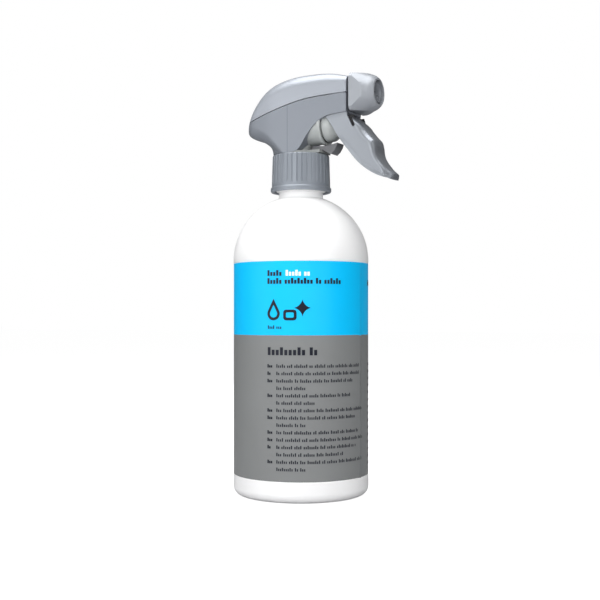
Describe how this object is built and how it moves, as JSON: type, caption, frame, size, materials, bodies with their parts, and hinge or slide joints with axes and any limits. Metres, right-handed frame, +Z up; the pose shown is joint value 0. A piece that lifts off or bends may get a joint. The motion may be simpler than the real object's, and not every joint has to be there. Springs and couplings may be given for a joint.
{
  "type": "trigger spray bottle",
  "caption": "Round white bottle with a blue and grey wrap label, ribbed grey screw collar and silver-grey trigger sprayer head with turning nozzle.",
  "frame": {"origin": "centre of the ring on the bottle's base that it stands on", "axes": "+Z up the bottle, +X towards the nozzle, +Y to the left seen from behind the head"},
  "size_m": [0.0924, 0.072, 0.2233],
  "materials": {
    "bottle_plastic": "satin white polyethylene",
    "label_film": "printed film, semi-gloss",
    "collar_plastic": "satin blue-grey",
    "gasket_foam": "soft foam",
    "natural_plastic": "natural polypropylene",
    "tube_plastic": "translucent tube",
    "valve_steel": "polished steel",
    "cylinder_plastic": "warm white polypropylene",
    "seal_rubber": "soft elastomer",
    "spring_steel": "stainless wire",
    "stop_plastic": "satin dark grey",
    "trigger_plastic": "metallic silver grey",
    "nozzle_plastic": "metallic light grey",
    "shroud_plastic": "metallic silver grey"
  },
  "bodies": {
    "bottle": {"bottle": "bottle_plastic", "label": "label_film"},
    "sprayer": {"gasket": "gasket_foam", "tube_retainer": "natural_plastic", "dip_tube": "tube_plastic", "tube_filter": "tube_plastic", "pump_body": "natural_plastic", "pump_cylinder": "cylinder_plastic", "return_spring": "spring_steel", "trigger_stop": "stop_plastic", "outlet_valve": "seal_rubber", "spinner": "natural_plastic", "shroud_cover": "shroud_plastic", "shroud_housing": "shroud_plastic"},
    "collar": {"collar": "collar_plastic"},
    "trigger": {"trigger": "trigger_plastic"},
    "piston": {"piston": "cylinder_plastic", "piston_seal": "seal_rubber"},
    "nozzle": {"nozzle_cap": "nozzle_plastic", "nozzle_insert": "nozzle_plastic", "nozzle_seal": "seal_rubber"},
    "inlet_ball": {"inlet_ball": "valve_steel"}
  },
  "joints": [
    {"name": "head_rise", "type": "slide", "parent": "bottle", "child": "sprayer", "axis": [0, 0, 1], "range_m": [0, 0.00634]},
    {"name": "collar_turn", "type": "hinge", "parent": "sprayer", "child": "collar", "pos_m": [0, 0, 0.17], "axis": [0, 0, 1], "range_deg": [0, 540]},
    {"name": "trigger_pull", "type": "hinge", "parent": "sprayer", "child": "trigger", "pos_m": [0.0264, 0, 0.2076], "axis": [0, 1, 0], "range_deg": [0, 25], "stiffness_Nm_per_rad": 0.25, "springref_deg": -20.05},
    {"name": "piston_stroke", "type": "slide", "parent": "sprayer", "child": "piston", "axis": [-1, 0, 0], "range_m": [0, 0.00731], "deforming": ["return_spring"]},
    {"name": "nozzle_turn", "type": "hinge", "parent": "sprayer", "child": "nozzle", "pos_m": [0.039, 0, 0.21], "axis": [1, 0, 0], "continuous": true},
    {"name": "inlet_ball_lift", "type": "slide", "parent": "sprayer", "child": "inlet_ball", "axis": [0, 0, 1], "range_m": [0, 0.0012]}
  ],
  "couplings": [
    {"joint": "collar_turn", "follows": "head_rise", "rad_per_m": 1485.4},
    {"joint": "piston_stroke", "follows": "trigger_pull", "m_per_rad": 0.01673}
  ]
}
